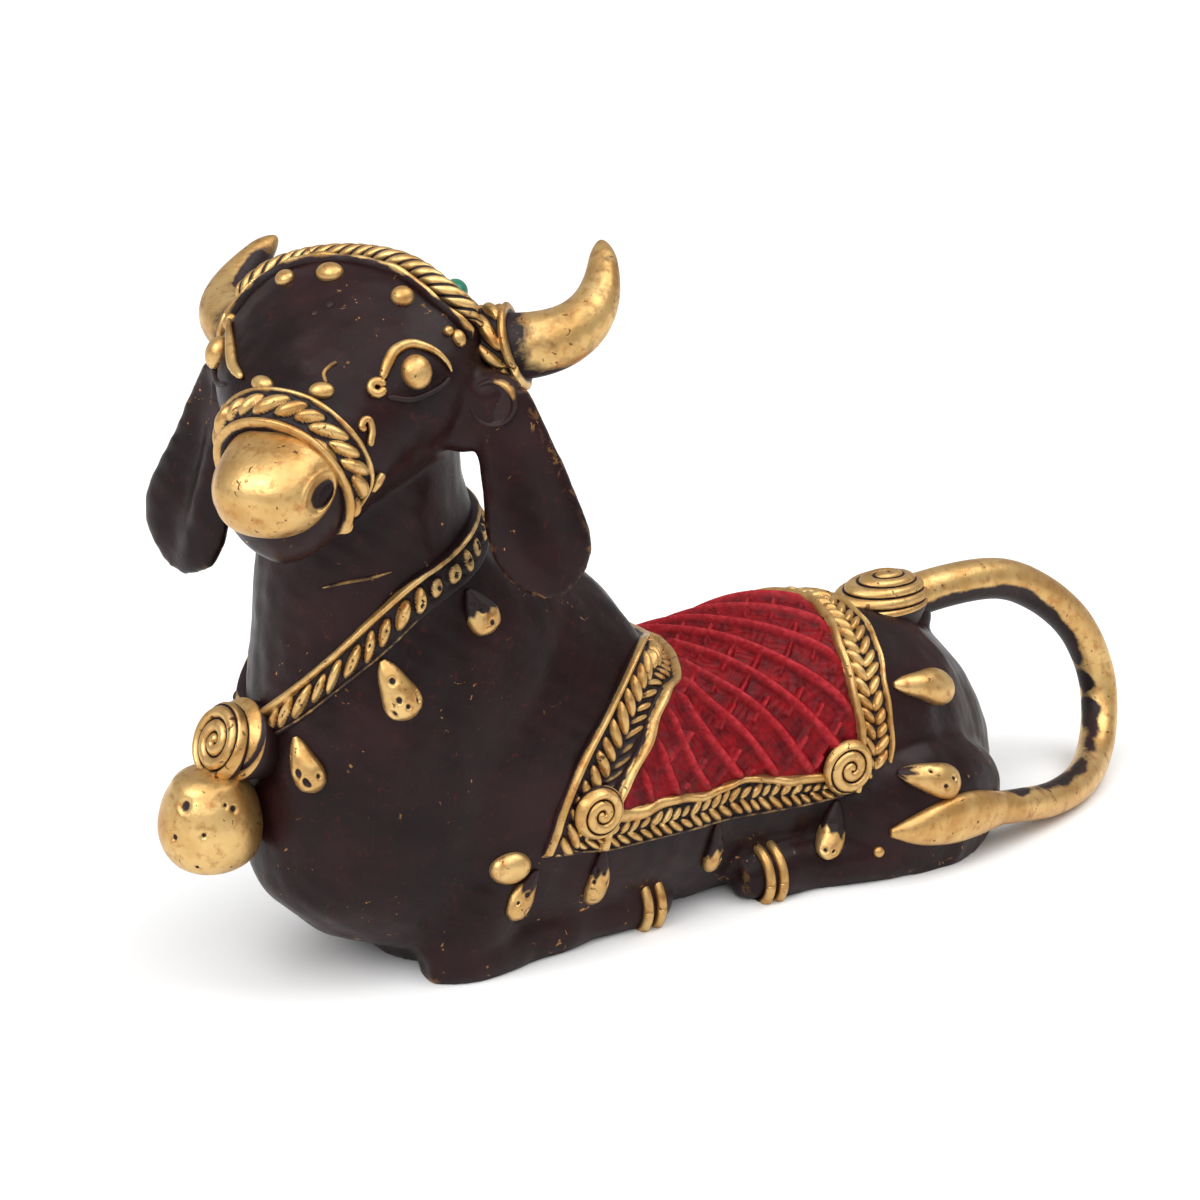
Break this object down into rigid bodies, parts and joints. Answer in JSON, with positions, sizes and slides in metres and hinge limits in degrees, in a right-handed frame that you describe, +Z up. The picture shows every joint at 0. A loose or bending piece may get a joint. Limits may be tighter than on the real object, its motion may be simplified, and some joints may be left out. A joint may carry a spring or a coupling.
{
  "type": "nandi bull figure",
  "caption": "Couchant nandi bull, lost-wax brass, dark patina and polished thread ornament: crown rope, collar with coil and bell, red lattice saddle cloth, tail looped to the thigh",
  "frame": {"origin": "on the flat underside, on the body's median plane, under the middle of the back", "axes": "the bull's body faces -Y, its left side is +X, its tail loop reaches +Y and +Z is up; its head is turned towards its left"},
  "size_m": [0.0559, 0.1527, 0.0926],
  "materials": {
    "dark_brass": "dark brown-red patina, rubbed to a dull sheen, with pits",
    "bright_brass": "polished raised ornament with dark recesses and worn edges",
    "red_enamel": "worn red enamel in the cloth's cells and on its threads",
    "green_enamel": "small traces of green enamel behind the crown rope"
  },
  "bodies": {
    "root": {"nandi_bull": "dark_brass"}
  },
  "joints": []
}
